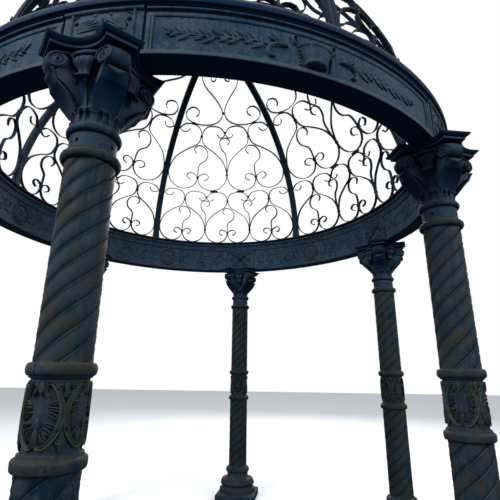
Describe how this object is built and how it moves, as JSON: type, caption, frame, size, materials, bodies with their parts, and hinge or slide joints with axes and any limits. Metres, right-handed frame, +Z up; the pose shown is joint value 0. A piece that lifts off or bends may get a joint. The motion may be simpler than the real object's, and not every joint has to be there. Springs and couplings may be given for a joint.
{
  "type": "bandstand",
  "caption": "Open round garden bandstand of cast iron: spiral columns with leafy capitals carry a ring beam and a dome of wrought scrolls between ribs, crowned by a finial.",
  "frame": {"origin": "the middle of the ring of columns, at ground level under the plinths", "axes": "+Z up the axis of the dome; +Y from the middle towards column 1, with column 4 on -Y and the others numbered clockwise seen from above; +X a quarter turn clockwise from +Y seen from above, through the bay between columns 2 and 3"},
  "size_m": [4.0786, 4.395, 5.2215],
  "materials": {
    "base_iron": "weathered dark paint over cast iron, matt with rust on the edges",
    "shaft_iron": "weathered dark paint over cast iron, matt with rust on the edges",
    "capital_iron": "weathered dark paint over cast iron, matt with rust on the edges",
    "block_iron": "weathered dark paint over cast iron, matt with rust on the edges",
    "beam_iron": "weathered dark paint over cast iron, matt with rust on the edges",
    "foot_ring_iron": "weathered dark paint over wrought iron, matt",
    "rib_iron": "weathered dark paint over wrought iron, matt",
    "scroll_iron": "weathered dark paint over wrought iron, matt",
    "crown_iron": "weathered dark paint over cast iron, matt with rust on the edges"
  },
  "bodies": {
    "root": {"column_base_1": "base_iron", "column_base_2": "base_iron", "column_base_3": "base_iron", "column_base_4": "base_iron", "column_base_5": "base_iron", "column_base_6": "base_iron", "column_shaft_1": "shaft_iron", "column_shaft_2": "shaft_iron", "column_shaft_3": "shaft_iron", "column_shaft_4": "shaft_iron", "column_shaft_5": "shaft_iron", "column_shaft_6": "shaft_iron", "column_capital_1": "capital_iron", "column_capital_2": "capital_iron", "column_capital_3": "capital_iron", "column_capital_4": "capital_iron", "column_capital_5": "capital_iron", "column_capital_6": "capital_iron", "beam_block_1": "block_iron", "beam_block_2": "block_iron", "beam_block_3": "block_iron", "beam_block_4": "block_iron", "beam_block_5": "block_iron", "beam_block_6": "block_iron", "beam_1": "beam_iron", "beam_2": "beam_iron", "beam_3": "beam_iron", "beam_4": "beam_iron", "beam_5": "beam_iron", "beam_6": "beam_iron", "dome_foot_ring": "foot_ring_iron", "dome_rib_1": "rib_iron", "dome_rib_2": "rib_iron", "dome_rib_3": "rib_iron", "dome_rib_4": "rib_iron", "dome_rib_5": "rib_iron", "dome_rib_6": "rib_iron", "scroll_panel_1": "scroll_iron", "scroll_panel_2": "scroll_iron", "scroll_panel_3": "scroll_iron", "scroll_panel_4": "scroll_iron", "scroll_panel_5": "scroll_iron", "scroll_panel_6": "scroll_iron", "crown_hub": "crown_iron", "finial": "crown_iron"}
  },
  "joints": []
}
